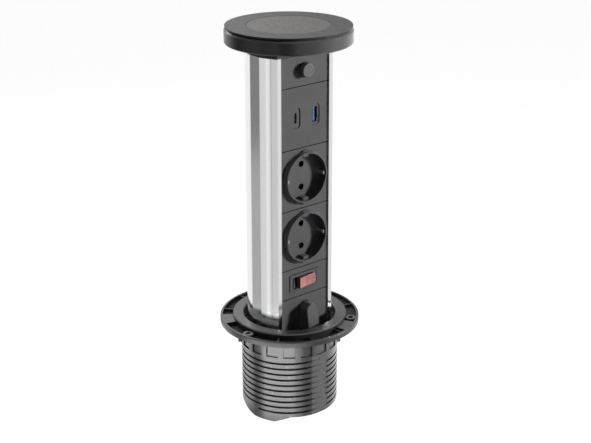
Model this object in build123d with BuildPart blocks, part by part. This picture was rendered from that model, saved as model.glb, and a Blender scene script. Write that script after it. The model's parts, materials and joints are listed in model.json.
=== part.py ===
from build123d import *
import math
import os

os.makedirs("parts", exist_ok=True)

# A pop-up desk socket. A round column slides up out of a threaded barrel that sits in a hole in the
# desk. Its front carries two earthed sockets, two USB ports, a switch and an overload button, and its
# cap is a wireless charger. All sizes are millimetres.
# Frame: origin on the column's axis in the plane of the flange's underside, which rests on the desk.
# +Z is up along the column and the front panel faces -Y. The column is drawn pulled up.

# Mounting flange: a raised inner ring, then an open channel inside a rim
ring_width = 9.0
ring_height = 6.6
ring_edge_chamfer = 0.8
channel_width = 8.4
flange_rim = 2.0
flange_height = 4.3
flange_floor = 1.4
flange_edge_chamfer = 0.5

# Mounting barrel under the flange: a collar of grip pads, then the thread
collar_wall = 3.2
collar_length = 18.2
barrel_seat_depth = 1.2
grip_count = 18
grip_angle = 13.8
grip_depth = 1.0
grip_margin = 0.9
thread_wall = 1.9
thread_pitch = 4.87
thread_groove_width = 1.7
thread_groove_depth = 1.15
thread_first_drop = 22.4
thread_turns = 9.22
thread_end_angle = -80.0
thread_flat_depth = 0.9
barrel_length = 71.0
barrel_end_chamfer = 0.6
tab_length = 4.4
tab_angle = -70.0
tab_half_width = 14.0
tab_slope = 6.0
tab_lead = 12.0
tab_lead_drop = 3.0
screw_count = 3
screw_hole_radius = 2.1
screw_boss_radius = 4.3
screw_angle = 40.0
rib_count = 12
rib_angle = 10.0
rib_thickness = 0.8
rib_height = 3.6
block_angles = (22.5, -117.5)
block_span = 18.0
nub_count = 4
nub_angle = 5.0
nub_inset = 1.1
nub_width = 1.7
nub_height = 2.6
catch_width = 14.0
catch_height = 7.0
catch_depth = 1.0
catch_drop = 15.5

# Guide liner inside the barrel, open at the front for what stands out of the panel
liner_top_drop = 4.0
liner_length = 42.0
liner_wall = 3.0
liner_open_angle = 124.0
slide_clearance = 0.1

# Column profile
column_radius = 34.5
column_wall = 2.2
column_tail_margin = 4.8
front_inset = 14.3
side_flat_width = 11.4
port_inset = 4.9
port_front_angle = 71.0
port_rear_angle = 140.0
port_boss_radius = 3.2
side_groove_depth = 0.6
side_groove_width = 1.2
side_groove_angle = 62.5

# Panel modules: one unit is a socket or the USB charger, half a unit the button or the switch
foot_seam = 27.2
unit_height = 50.0
half_unit_height = 25.0
panel_width = 48.8
panel_recess = 1.3
plate_thickness = 3.0
tongue_width = 1.1
tongue_thickness = 1.7
ledge_width = 2.4
ledge_thickness = 3.0
seam_gap = 0.2
socket_rise = 0.7
switch_rise = 0.3
button_rise = 0.3
seam_chamfer = 0.25
fit_gap = 0.05

# Socket
socket_rim_radius = 20.6
socket_base_radius = 21.4
socket_collar_height = 3.8
socket_well_radius = 19.4
socket_well_draft_radius = 19.0
socket_well_depth = 7.8
socket_floor_thickness = 2.4
socket_skirt_radius = 21.4
socket_skirt_wall = 1.4
socket_skirt_length = 8.0
socket_rim_round = 0.35
pin_spacing = 19.0
pin_hole_radius = 2.6
guide_rib_width = 5.2
guide_rib_inset = 2.6
guide_rib_drop = 2.0
contact_block_length = 11.4
contact_block_gap = 0.2
contact_hole_gap = 0.4
contact_radius = 3.2
contact_bore_radius = 2.35
contact_slit = 0.8
contact_length = 10.8
contact_screw_x = 14.5
contact_screw_z = 8.0
contact_screw_radius = 1.4
contact_screw_head_radius = 2.5
contact_screw_head_height = 1.6
contact_screw_grip = 1.2

# Bus bars
bar_thickness = 1.0
bar_width = 6.0
bar_offset = 8.0
bar_end_lap = 8.0
earth_bar_gap = 1.5
earth_clip_width = 2.8
earth_clip_thickness = 0.8
earth_clip_slot_gap = 0.3
earth_clip_top_drop = 1.2
earth_clip_inset = 0.4

# USB module
usb_c_place = -8.8
usb_a_place = 10.8
usb_recess_width = 9.2
usb_recess_height = 16.4
usb_recess_depth = 0.6
usb_recess_round = 2.4
usb_c_width = 3.3
usb_c_height = 9.0
usb_c_tongue_width = 0.7
usb_c_tongue_height = 6.7
usb_a_width = 5.7
usb_a_height = 13.1
usb_a_tongue_width = 1.9
usb_a_tongue_height = 11.2
usb_a_tongue_shift = 0.4
usb_tongue_drop = 0.8
usb_board_front = 5.0
usb_shell_wall = 0.4
board_thickness = 1.6
usb_board_width = 41.0
usb_board_height = 44.0
usb_coil_size = 12.0
usb_coil_depth = 8.0
capacitor_radius = 4.0
capacitor_length = 12.0
usb_post_radius = 2.2
usb_post_x = 17.5
usb_post_z = 19.0
usb_screw_radius = 1.1
usb_screw_head_radius = 2.0
usb_screw_head_height = 1.2
usb_screw_length = 6.0
bar_tap_size = 6.0
bar_top_lap = 8.0

# Rocker switch
bezel_width = 31.0
bezel_height = 15.0
bezel_thickness = 0.6
bezel_round = 1.2
bezel_chamfer = 0.3
switch_body_width = 27.6
switch_body_height = 12.1
switch_body_length = 15.0
switch_well_width = 19.4
switch_well_height = 9.4
switch_well_depth = 10.0
scoop_width = 25.0
scoop_depth = 1.0
rocker_width = 16.8
rocker_height = 8.8
rocker_proud = 3.3
rocker_dish = 0.7
rocker_pivot_depth = 1.6
rocker_root_radius = 4.0
rocker_pin_radius = 1.2
rocker_pin_length = 1.0
rocker_lean = 7.0
running_gap = 0.05

# Overload button
button_radius = 5.7
button_proud = 5.2
button_tail = 5.0
button_edge_round = 0.7
button_rod_radius = 2.0
button_rod_length = 12.0
button_travel = 3.0
button_hole_gap = 0.3
breaker_width = 17.0
breaker_height = 20.0
breaker_length = 30.0
breaker_tab_place = 5.0
breaker_tab_width = 6.3
breaker_tab_thickness = 0.8
breaker_tab_length = 8.0
breaker_stop_gap = 0.4
spring_pocket_radius = 4.4
spring_pocket_length = 6.0
breaker_spring_radius = 3.6
breaker_spring_wire = 0.5
breaker_spring_turns = 5.0

# Latch lever at the column's foot
latch_top_width = 10.4
latch_end_width = 12.2
latch_pivot_height = 14.0
latch_pivot_depth = 13.5
latch_pin_radius = 1.5
latch_pin_length = 19.0
latch_crown = 21.6
latch_face_crown = 28.1
latch_face_slope = 0.171
latch_end_drop = 14.0
latch_toe_gap = 1.0
latch_toe_height = 5.0
latch_back_top = 10.0
latch_back_waist = 16.0
latch_waist_height = 7.0
latch_back_end = 21.0
latch_knee_height = -1.0
latch_toe_slope = 3.0
latch_pocket_radius = 3.4
latch_pocket_depth = 2.0
latch_slot_gap = 0.7
latch_slot_drop = 2.0
latch_spring_height = -5.0
latch_spring_radius = 2.6
latch_spring_wire = 0.6
latch_spring_turns = 5.0
spring_seat_height = 12.0
spring_seat_thickness = 2.0
spring_peg_radius = 1.6
spring_peg_length = 2.5
cheek_thickness = 2.0
cheek_gap = 0.7
cheek_end = 6.0
foot_panel_gap = 2.0
terminal_post_place = 12.0
terminal_post_width = 3.0

# Column foot
stop_collar_gap = 0.3
stop_collar_height = 9.0
stop_gap = 0.2
collar_screw_radius = 1.5
collar_screw_tip = 32.8
end_cap_thickness = 4.0
port_screw_radius = 1.5
port_screw_gap = 0.1
port_screw_length = 12.0
port_screw_head_radius = 2.75
port_screw_head_height = 1.8
gland_hole_radius = 8.0
gland_flange_radius = 12.0
gland_flange_height = 4.0
gland_nut_radius = 10.5
gland_nut_height = 8.0
gland_nut_round = 4.0
gland_locknut_height = 3.5
gland_stem_height = 8.0
cable_bore_radius = 4.0
terminal_width = 30.0
terminal_depth = 14.0
terminal_height = 14.0
terminal_screw_radius = 1.8
terminal_screw_head = 1.2
terminal_end_gap = 12.0

# Neck and charging cap
neck_inset = 0.9
neck_height = 6.4
neck_bore_radius = 12.0
cap_radius = 50.5
cap_wall = 2.5
cap_floor = 2.6
cap_body_height = 11.6
cap_top_chamfer = 1.6
cap_foot_round = 0.8
lid_inset = 0.6
lid_lip_thickness = 1.0
lid_step = 1.0
lid_spigot_gap = 0.2
lid_spigot_wall = 2.0
lid_spigot_height = 2.5
lid_plate_thickness = 2.2
pad_radius = 32.8
pad_groove = 0.3
pad_thickness = 1.0
pad_drop = 0.1
coil_outer_radius = 22.0
coil_inner_radius = 10.0
coil_thickness = 1.4
coil_gap = 0.1
ferrite_radius = 25.0
ferrite_thickness = 0.8
charger_board_width = 50.0
charger_board_depth = 38.0
charger_board_lift = 2.2
charger_chip_size = 8.0
charger_chip_height = 1.6
board_post_radius = 2.4
board_post_x = 21.0
board_post_y = 15.0
cap_screw_count = 3
cap_screw_circle = 16.0
cap_screw_angle = 90.0
cap_screw_radius = 1.9
cap_screw_head_radius = 3.4
cap_screw_head_height = 2.0
cap_screw_length = 8.0
lid_screw_count = 3
lid_screw_inset = 9.5
lid_screw_radius = 1.5
lid_screw_head_radius = 2.8
lid_screw_head_height = 1.6
lid_screw_length = 6.0
lid_boss_radius = 3.4
lead_radius = 1.2
lead_place = 17.5
lead_hole_gap = 0.4
lead_start_drop = 8.0
lead_bend_radius = 7.0

overrun = 1.0

# Places that follow from the sizes above
bore_radius = column_radius + slide_clearance + liner_wall
collar_radius = bore_radius + collar_wall
thread_radius = bore_radius + thread_wall
thread_flat_distance = thread_radius - thread_flat_depth
ring_radius = bore_radius + ring_width
screw_circle_radius = ring_radius + channel_width / 2
flange_radius = ring_radius + channel_width + flange_rim
nub_radius = flange_radius - nub_inset
side_flat_distance = math.sqrt(column_radius**2 - (side_flat_width / 2) ** 2)
front_distance = column_radius - front_inset
port_circle_radius = column_radius - port_inset
panel_face = front_distance - panel_recess
panel_back = panel_face - plate_thickness
ledge_back = panel_back - ledge_thickness
plate_width = panel_width - 2 * fit_gap
lower_seam = foot_seam + half_unit_height
usb_seam = lower_seam + 2 * unit_height
top_seam = usb_seam + unit_height
column_top = top_seam + half_unit_height
switch_centre = foot_seam + half_unit_height / 2 + switch_rise
lower_centre = lower_seam + unit_height / 2 + socket_rise
upper_centre = lower_centre + unit_height
usb_centre = usb_seam + unit_height / 2
button_centre = top_seam + half_unit_height / 2 + button_rise
socket_centres = {"lower": lower_centre, "upper": upper_centre}
pin_offset = pin_spacing / 2
liner_bottom = -liner_top_drop - liner_length
cap_bottom = column_top + neck_height
lid_radius = cap_radius - lid_inset
lid_screw_circle = cap_radius - lid_screw_inset
cap_shoulder = cap_bottom + cap_body_height
lid_underside = cap_shoulder + lid_step
cap_top = lid_underside + lid_lip_thickness
socket_rim = panel_face + socket_collar_height
socket_floor = socket_rim - socket_well_depth
contact_block_front = socket_floor - socket_floor_thickness
contact_block_back = contact_block_front - contact_block_length
live_bar_front = contact_block_back - contact_block_gap
earth_bar_front = live_bar_front - bar_thickness - earth_bar_gap
port_angles = (port_front_angle, -port_front_angle, port_rear_angle, -port_rear_angle)
earth_clip_reach = socket_well_draft_radius - earth_clip_inset
bezel_face = panel_face + bezel_thickness
rocker_pivot = panel_face - rocker_pivot_depth
button_back = panel_face - button_tail
button_bore_end = button_back - button_travel - breaker_stop_gap
spring_pocket_end = button_bore_end - spring_pocket_length
latch_crown_centre = latch_crown - latch_top_width / 2
cheek_inside = latch_end_width / 2 + cheek_gap
spring_seat_front = cheek_end + spring_seat_thickness
latch_pocket_floor = latch_back_end + latch_pocket_depth
stop_collar_top = liner_bottom - stop_gap
stop_collar_radius = bore_radius - stop_collar_gap
column_tail = stop_collar_height - stop_collar_top + column_tail_margin
foot_panel_tail = column_tail - foot_panel_gap
terminal_bottom = terminal_end_gap - foot_panel_tail
terminal_centre = terminal_bottom + terminal_height / 2
terminal_top = terminal_bottom + terminal_height
bar_bottom = terminal_top - bar_end_lap
latch_toe_distance = bore_radius - latch_toe_gap


def front(distance, height, x=0.0):
    """A plane facing forward, this far in front of the axis, with its own x along X and y along Z."""
    return Plane(origin=(x, -distance, height), x_dir=(1, 0, 0), z_dir=(0, -1, 0))


def around(radius, angle):
    """The point at this radius whose direction turns from straight ahead toward +X."""
    return (radius * math.sin(math.radians(angle)), -radius * math.cos(math.radians(angle)))


def port_points():
    return [around(port_circle_radius, angle) for angle in port_angles]


def column_outline(inset=0.0):
    """The column's round outline with its flat front and sides, drawn in the open sketch."""
    reach = column_radius - inset
    Circle(reach)
    with Locations((0, -front_distance + inset - reach)):
        Rectangle(2 * reach, 2 * reach, mode=Mode.SUBTRACT)
    for side in (-1, 1):
        with Locations((side * (side_flat_distance - inset + reach), 0)):
            Rectangle(2 * reach, 2 * reach, mode=Mode.SUBTRACT)


def panel_plate(bottom, height):
    """A module's plate with the side tongues that slide in the column's grooves."""
    middle = bottom + height / 2
    with BuildPart() as plate:
        with BuildSketch(front(panel_face, middle)):
            Rectangle(plate_width, height - seam_gap)
        extrude(amount=-plate_thickness)
        chamfer(edges().filter_by(Axis.X).group_by(Axis.Y)[0], seam_chamfer)
        with BuildSketch(front(panel_back, middle)):
            Rectangle(plate_width + 2 * tongue_width, height - seam_gap)
        extrude(amount=tongue_thickness)
    return plate.part


# Mounting flange
flange_profile = [
    (bore_radius, barrel_seat_depth),
    (bore_radius, ring_height - ring_edge_chamfer),
    (bore_radius + ring_edge_chamfer, ring_height),
    (ring_radius - ring_edge_chamfer, ring_height),
    (ring_radius, ring_height - ring_edge_chamfer),
    (ring_radius, flange_floor),
    (flange_radius - flange_rim, flange_floor),
    (flange_radius - flange_rim, flange_height),
    (flange_radius - flange_edge_chamfer, flange_height),
    (flange_radius, flange_height - flange_edge_chamfer),
    (flange_radius, 0),
    (collar_radius, 0),
    (collar_radius, barrel_seat_depth),
]
screw_points = []
for index in range(screw_count):
    screw_points.append(around(screw_circle_radius, screw_angle + index * 360 / screw_count))

with BuildPart() as mounting_flange:
    with BuildSketch(Plane.XZ):
        with BuildLine():
            Polyline(*flange_profile, close=True)
        make_face()
    revolve(axis=Axis.Z)
    # Screw bosses, driver blocks and radial ribs in the open channel
    with BuildSketch(Plane.XY):
        with Locations(screw_points):
            Circle(screw_boss_radius)
        for angle in block_angles:
            turn = math.radians(angle - 90)
            half = math.radians(block_span / 2)
            reach = flange_radius - flange_rim / 2
            with BuildLine():
                Polyline(
                    (0, 0),
                    (reach * math.cos(turn - half), reach * math.sin(turn - half)),
                    (reach * math.cos(turn), reach * math.sin(turn)),
                    (reach * math.cos(turn + half), reach * math.sin(turn + half)),
                    close=True,
                )
            make_face()
        Circle(ring_radius - flange_rim, mode=Mode.SUBTRACT)
    extrude(amount=flange_height)
    with BuildSketch(Plane.XY):
        rib_middle = (ring_radius + flange_radius - flange_rim) / 2
        for index in range(rib_count):
            angle = rib_angle + index * 360 / rib_count
            with Locations(Location((*around(rib_middle, angle), 0), (0, 0, angle))):
                Rectangle(rib_thickness, channel_width + flange_rim)
    extrude(amount=rib_height)
    # Nubs under the rim that keep the flange from turning on the desk
    with BuildSketch(Plane.XY):
        for index in range(nub_count):
            angle = nub_angle + index * 360 / nub_count
            with Locations(Location((*around(nub_radius, angle), 0), (0, 0, angle))):
                Rectangle(nub_width, nub_width)
    extrude(amount=-nub_height)
    with BuildSketch(Plane.XY):
        with Locations(screw_points):
            Circle(screw_hole_radius)
    extrude(amount=flange_height, mode=Mode.SUBTRACT)
mounting_flange.part.label = "mounting_flange"
export_step(mounting_flange.part, "parts/mounting_flange.step")

# Mounting barrel
with BuildPart() as groove:
    with BuildLine() as groove_path:
        Helix(pitch=thread_pitch, height=thread_turns * thread_pitch, radius=thread_radius)
    with BuildSketch(Plane(origin=groove_path.line @ 0, x_dir=(1, 0, 0), z_dir=groove_path.line % 0)):
        Rectangle(2 * thread_groove_depth, thread_groove_width)
    sweep(path=groove_path.line, is_frenet=True)
groove_start = -thread_first_drop - thread_turns * thread_pitch
groove_cut = Pos(0, 0, groove_start) * Rot(0, 0, thread_end_angle - 90) * groove.part
barrel_end = -barrel_length - tab_length

with BuildPart() as mounting_barrel:
    with BuildSketch(Plane.XY.offset(barrel_seat_depth)):
        Circle(thread_radius)
    extrude(amount=-barrel_seat_depth - barrel_length)
    chamfer(faces().sort_by(Axis.Z)[0].outer_wire().edges(), barrel_end_chamfer)
    # The end of the barrel hangs lower on one side
    tab_plane = Plane(
        origin=(0, 0, -barrel_length),
        x_dir=(math.cos(math.radians(tab_angle)), math.sin(math.radians(tab_angle)), 0),
        z_dir=(*around(1, tab_angle), 0),
    )
    with BuildSketch(tab_plane):
        with BuildLine():
            Polyline(
                (-tab_half_width - tab_lead, overrun),
                (-tab_half_width - tab_lead, 0),
                (-tab_half_width - tab_slope / 2, -tab_lead_drop),
                (-tab_half_width + tab_slope / 2, -tab_length),
                (tab_half_width - tab_slope, -tab_length),
                (tab_half_width + tab_slope, 0),
                (tab_half_width + tab_slope, overrun),
                close=True,
            )
        make_face()
    extrude(amount=thread_radius + overrun)
    with BuildSketch(Plane.XY.offset(barrel_end - overrun)):
        Circle(flange_radius)
        Circle(thread_radius, mode=Mode.SUBTRACT)
    extrude(amount=tab_length + 2 * overrun, mode=Mode.SUBTRACT)
    with BuildSketch(Plane.XY.offset(barrel_seat_depth)):
        Circle(bore_radius)
    extrude(amount=barrel_end - barrel_seat_depth - overrun, mode=Mode.SUBTRACT)
    add(groove_cut, mode=Mode.SUBTRACT)
    # Two flats run down the threaded part, front and back
    with BuildSketch(Plane.XY):
        for side in (-1, 1):
            with Locations((0, side * (thread_flat_distance + thread_radius / 2))):
                Rectangle(thread_radius, thread_radius)
    extrude(amount=barrel_end - overrun, mode=Mode.SUBTRACT)
    # Collar with the grip pads sunk in it
    with BuildSketch(Plane.XY.offset(barrel_seat_depth)):
        Circle(collar_radius)
        Circle(bore_radius, mode=Mode.SUBTRACT)
    extrude(amount=-barrel_seat_depth - collar_length)
    with BuildSketch(Plane.XY.offset(-collar_length + grip_margin)):
        for index in range(grip_count):
            turn = math.radians(index * 360 / grip_count - 90)
            half = math.radians(grip_angle / 2)
            reach = collar_radius + overrun
            with BuildLine():
                Polyline(
                    (0, 0),
                    (reach * math.cos(turn - half), reach * math.sin(turn - half)),
                    (reach * math.cos(turn + half), reach * math.sin(turn + half)),
                    close=True,
                )
            make_face()
        Circle(collar_radius - grip_depth, mode=Mode.SUBTRACT)
    extrude(amount=collar_length - 2 * grip_margin, mode=Mode.SUBTRACT)
    # The catch pocket that the latch's toe faces
    with BuildSketch(front(0, -catch_drop + catch_height / 2)):
        Rectangle(catch_width, catch_height)
    extrude(amount=bore_radius + catch_depth, mode=Mode.SUBTRACT)
mounting_barrel.part.label = "mounting_barrel"
export_step(mounting_barrel.part, "parts/mounting_barrel.step")

# Guide liner: the bush in the barrel that the round part of the column slides in
with BuildPart() as guide_liner:
    with BuildSketch(Plane.XY.offset(-liner_top_drop)):
        Circle(bore_radius)
        Circle(column_radius + slide_clearance, mode=Mode.SUBTRACT)
        with BuildLine():
            Polyline(
                (0, 0),
                around(3 * bore_radius, liner_open_angle / 2),
                around(3 * bore_radius, -liner_open_angle / 2),
                close=True,
            )
        make_face(mode=Mode.SUBTRACT)
    extrude(amount=-liner_length)
guide_liner.part.label = "guide_liner"
export_step(guide_liner.part, "parts/guide_liner.step")

# Column profile: an extrusion with a channel for the panels and four screw ports
column_length = column_top + column_tail
with BuildPart() as column_profile:
    with BuildSketch(Plane.XY.offset(-column_tail)):
        column_outline()
    extrude(amount=column_length)
    with BuildSketch(Plane.XY.offset(-column_tail)):
        Circle(column_radius - column_wall)
        with Locations((0, -ledge_back - column_radius)):
            Rectangle(2 * column_radius, 2 * column_radius, mode=Mode.SUBTRACT)
        with Locations((0, -ledge_back)):
            Rectangle(panel_width - 2 * ledge_width, 2 * ledge_thickness)
        with Locations((0, -panel_back)):
            Rectangle(panel_width, 2 * column_radius, align=(Align.CENTER, Align.MAX))
            groove_width = panel_width + 2 * (tongue_width + fit_gap)
            Rectangle(groove_width, tongue_thickness + fit_gap, align=(Align.CENTER, Align.MAX))
        with Locations(port_points()):
            Circle(port_boss_radius, mode=Mode.SUBTRACT)
            Circle(port_screw_radius)
        for side in (-1, 1):
            turn = side * side_groove_angle
            with Locations(Location((*around(column_radius, turn), 0), (0, 0, turn))):
                Rectangle(side_groove_width, 2 * side_groove_depth)
    extrude(amount=column_length, mode=Mode.SUBTRACT)
    with BuildSketch(Plane.YZ):
        with Locations((0, stop_collar_top - stop_collar_height / 2)):
            Circle(collar_screw_radius)
    extrude(amount=column_radius, both=True, mode=Mode.SUBTRACT)
    with BuildSketch(Plane.XZ):
        with Locations((0, stop_collar_top - stop_collar_height / 2)):
            Circle(collar_screw_radius)
    extrude(amount=-column_radius, mode=Mode.SUBTRACT)
column_profile.part.label = "column_profile"
export_step(column_profile.part, "parts/column_profile.step")

# Stop collar: clamped round the column's tail, it meets the liner when the column is up
with BuildPart() as stop_collar:
    with BuildSketch(Plane.XY.offset(stop_collar_top)):
        Circle(stop_collar_radius)
    extrude(amount=-stop_collar_height)
    with BuildSketch(Plane.XY.offset(stop_collar_top)):
        column_outline()
    extrude(amount=-stop_collar_height, mode=Mode.SUBTRACT)
    with BuildSketch(Plane.YZ):
        with Locations((0, stop_collar_top - stop_collar_height / 2)):
            Circle(collar_screw_radius)
    extrude(amount=stop_collar_radius, both=True, mode=Mode.SUBTRACT)
    with BuildSketch(Plane.XZ):
        with Locations((0, stop_collar_top - stop_collar_height / 2)):
            Circle(collar_screw_radius)
    extrude(amount=-stop_collar_radius, mode=Mode.SUBTRACT)
stop_collar.part.label = "stop_collar"
export_step(stop_collar.part, "parts/stop_collar.step")

with BuildPart() as collar_screws:
    for angle in (90, 180, -90):
        direction = (*around(1, angle), 0)
        height = stop_collar_top - stop_collar_height / 2
        with BuildSketch(Plane(origin=(*around(collar_screw_tip, angle), height), z_dir=direction)):
            Circle(collar_screw_radius)
        extrude(amount=stop_collar_radius - collar_screw_tip - slide_clearance)
collar_screws.part.label = "collar_screws"
export_step(collar_screws.part, "parts/collar_screws.step")

# Sockets: a plate with a raised collar round a shallow well
for place, centre in socket_centres.items():
    plate = panel_plate(centre - socket_rise - unit_height / 2, unit_height)
    with BuildPart() as socket:
        add(plate)
        with BuildSketch(front(panel_face, centre)):
            Circle(socket_base_radius)
        with BuildSketch(front(socket_rim, centre)):
            Circle(socket_rim_radius)
        loft()
        fillet(edges().filter_by(GeomType.CIRCLE).group_by(Axis.Y)[0], socket_rim_round)
        with BuildSketch(front(panel_back, centre)):
            Circle(socket_skirt_radius)
        extrude(amount=-socket_skirt_length)
        with BuildSketch(front(contact_block_front, centre)):
            Circle(socket_skirt_radius - socket_skirt_wall)
        extrude(amount=-(contact_block_front - panel_back + socket_skirt_length), mode=Mode.SUBTRACT)
        with BuildSketch(front(socket_rim, centre)):
            Circle(socket_well_radius)
        with BuildSketch(front(socket_floor, centre)):
            Circle(socket_well_draft_radius)
        loft(mode=Mode.SUBTRACT)
        # Guide ribs above and below the pins
        with BuildSketch(front(socket_floor, centre)):
            with Locations((0, socket_well_radius), (0, -socket_well_radius)):
                Rectangle(guide_rib_width, 2 * guide_rib_inset)
        extrude(amount=socket_well_depth - guide_rib_drop)
        with BuildSketch(front(socket_floor, centre)):
            with Locations((0, pin_offset), (0, -pin_offset)):
                Circle(pin_hole_radius)
            slot_reach = earth_clip_thickness + 2 * earth_clip_slot_gap
            with Locations((earth_clip_reach - earth_clip_thickness / 2, 0)):
                Rectangle(slot_reach, earth_clip_width + 2 * earth_clip_slot_gap)
            with Locations((-earth_clip_reach + earth_clip_thickness / 2, 0)):
                Rectangle(slot_reach, earth_clip_width + 2 * earth_clip_slot_gap)
        extrude(amount=-socket_floor_thickness, mode=Mode.SUBTRACT)
        with BuildSketch(front(contact_block_front, centre)):
            with Locations((-contact_screw_x, -contact_screw_z), (contact_screw_x, contact_screw_z)):
                Circle(contact_screw_radius)
        extrude(amount=contact_screw_grip, mode=Mode.SUBTRACT)
    socket.part.label = f"socket_{place}"
    export_step(socket.part, f"parts/socket_{place}.step")

    with BuildPart() as contact_block:
        with BuildSketch(front(contact_block_back, centre)):
            Circle(socket_skirt_radius - socket_skirt_wall - fit_gap)
            with Locations((0, pin_offset), (0, -pin_offset)):
                Circle(contact_radius + contact_hole_gap, mode=Mode.SUBTRACT)
            notch_width = earth_clip_width + 2 * earth_clip_slot_gap
            notch_edge = earth_clip_reach - earth_clip_thickness - earth_clip_slot_gap
            notch_middle = notch_edge + socket_skirt_radius / 2
            with Locations((notch_middle, 0), (-notch_middle, 0)):
                Rectangle(socket_skirt_radius, notch_width, mode=Mode.SUBTRACT)
            with Locations((-contact_screw_x, -contact_screw_z), (contact_screw_x, contact_screw_z)):
                Circle(contact_screw_radius, mode=Mode.SUBTRACT)
        extrude(amount=contact_block_length)
    contact_block.part.label = f"contact_block_{place}"
    export_step(contact_block.part, f"parts/contact_block_{place}.step")

with BuildPart() as contact_screws:
    for centre in socket_centres.values():
        screw_places = [(-contact_screw_x, -contact_screw_z), (contact_screw_x, contact_screw_z)]
        with BuildSketch(front(contact_block_back, centre)):
            with Locations(screw_places):
                Circle(contact_screw_head_radius)
        extrude(amount=-contact_screw_head_height)
        with BuildSketch(front(contact_block_back, centre)):
            with Locations(screw_places):
                Circle(contact_screw_radius)
        extrude(amount=contact_block_length + contact_screw_grip)
contact_screws.part.label = "contact_screws"
export_step(contact_screws.part, "parts/contact_screws.step")

# Bus bars behind the sockets, each with a contact tube for every socket
bar_top = usb_centre - usb_board_height / 2 + bar_top_lap
for name, side in (("live_bar", -1), ("neutral_bar", 1)):
    with BuildPart() as bar:
        with BuildSketch(front(live_bar_front, (bar_top + bar_bottom) / 2, side * bar_offset)):
            Rectangle(bar_width, bar_top - bar_bottom)
        extrude(amount=-bar_thickness)
        for centre in socket_centres.values():
            height = centre - side * pin_offset
            arm_outer = bar_offset + bar_width / 2
            arm_length = arm_outer + contact_radius
            with BuildSketch(front(live_bar_front, height)):
                with Locations((side * (arm_outer - arm_length / 2), 0)):
                    Rectangle(arm_length, 2 * contact_radius)
            extrude(amount=-bar_thickness)
            with BuildSketch(front(live_bar_front, height)):
                Circle(contact_radius)
                Circle(contact_bore_radius, mode=Mode.SUBTRACT)
                Rectangle(contact_slit, 2 * contact_radius, mode=Mode.SUBTRACT)
            extrude(amount=contact_length)
    bar.part.label = name
    export_step(bar.part, f"parts/{name}.step")

with BuildPart() as earth_bar:
    with BuildSketch(front(earth_bar_front, (upper_centre + bar_bottom) / 2)):
        Rectangle(bar_width, upper_centre - bar_bottom)
    extrude(amount=-bar_thickness)
    for centre in socket_centres.values():
        with BuildSketch(front(earth_bar_front, centre)):
            Rectangle(2 * earth_clip_reach, earth_clip_width)
        extrude(amount=-bar_thickness)
        with BuildSketch(front(earth_bar_front, centre)):
            clip_middle = earth_clip_reach - earth_clip_thickness / 2
            with Locations((clip_middle, 0), (-clip_middle, 0)):
                Rectangle(earth_clip_thickness, earth_clip_width)
        extrude(amount=socket_rim - earth_clip_top_drop - earth_bar_front)
earth_bar.part.label = "earth_bar"
export_step(earth_bar.part, "parts/earth_bar.step")

# USB module: a plate with two openings, the ports and their circuit board
plate = panel_plate(usb_seam, unit_height)
with BuildPart() as panel_usb:
    add(plate)
    with BuildSketch(front(panel_face, usb_centre)):
        with Locations((usb_c_place, 0), (usb_a_place, 0)):
            RectangleRounded(usb_recess_width, usb_recess_height, usb_recess_round)
    extrude(amount=-usb_recess_depth, mode=Mode.SUBTRACT)
    with BuildSketch(front(panel_face, usb_centre, usb_c_place)):
        SlotOverall(usb_c_height, usb_c_width, rotation=90)
    extrude(amount=-plate_thickness, mode=Mode.SUBTRACT)
    with BuildSketch(front(panel_face, usb_centre, usb_a_place)):
        Rectangle(usb_a_width, usb_a_height)
    extrude(amount=-plate_thickness, mode=Mode.SUBTRACT)
    with BuildSketch(front(panel_back, usb_centre)):
        with GridLocations(2 * usb_post_x, 2 * usb_post_z, 2, 2):
            Circle(usb_post_radius)
    extrude(amount=-(panel_back - usb_board_front))
    with BuildSketch(front(usb_board_front, usb_centre)):
        with GridLocations(2 * usb_post_x, 2 * usb_post_z, 2, 2):
            Circle(usb_screw_radius)
    extrude(amount=usb_screw_length - board_thickness, mode=Mode.SUBTRACT)
panel_usb.part.label = "panel_usb"
export_step(panel_usb.part, "parts/panel_usb.step")

with BuildPart() as usb_board:
    with BuildSketch(front(usb_board_front, usb_centre)):
        Rectangle(usb_board_width, usb_board_height)
        with GridLocations(2 * usb_post_x, 2 * usb_post_z, 2, 2):
            Circle(usb_screw_radius, mode=Mode.SUBTRACT)
    extrude(amount=-board_thickness)
    board_back = usb_board_front - board_thickness
    # Choke, capacitor and the two taps that meet the bus bars
    with BuildSketch(front(board_back, usb_centre + usb_coil_size / 2, -bar_offset)):
        Rectangle(usb_coil_size, usb_coil_size)
    extrude(amount=-usb_coil_depth)
    with BuildSketch(front(board_back, usb_centre + capacitor_radius, bar_offset)):
        Circle(capacitor_radius)
    extrude(amount=-capacitor_length)
    tap_height = bar_top - bar_tap_size / 2
    with BuildSketch(front(board_back, tap_height)):
        with Locations((bar_offset, 0), (-bar_offset, 0)):
            Rectangle(bar_width, bar_tap_size)
    extrude(amount=-(board_back - live_bar_front))
usb_board.part.label = "usb_board"
export_step(usb_board.part, "parts/usb_board.step")

with BuildPart() as usb_board_screws:
    with BuildSketch(front(board_back, usb_centre)):
        with GridLocations(2 * usb_post_x, 2 * usb_post_z, 2, 2):
            Circle(usb_screw_head_radius)
    extrude(amount=-usb_screw_head_height)
    with BuildSketch(front(board_back, usb_centre)):
        with GridLocations(2 * usb_post_x, 2 * usb_post_z, 2, 2):
            Circle(usb_screw_radius)
    extrude(amount=usb_screw_length)
usb_board_screws.part.label = "usb_board_screws"
export_step(usb_board_screws.part, "parts/usb_board_screws.step")

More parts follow.
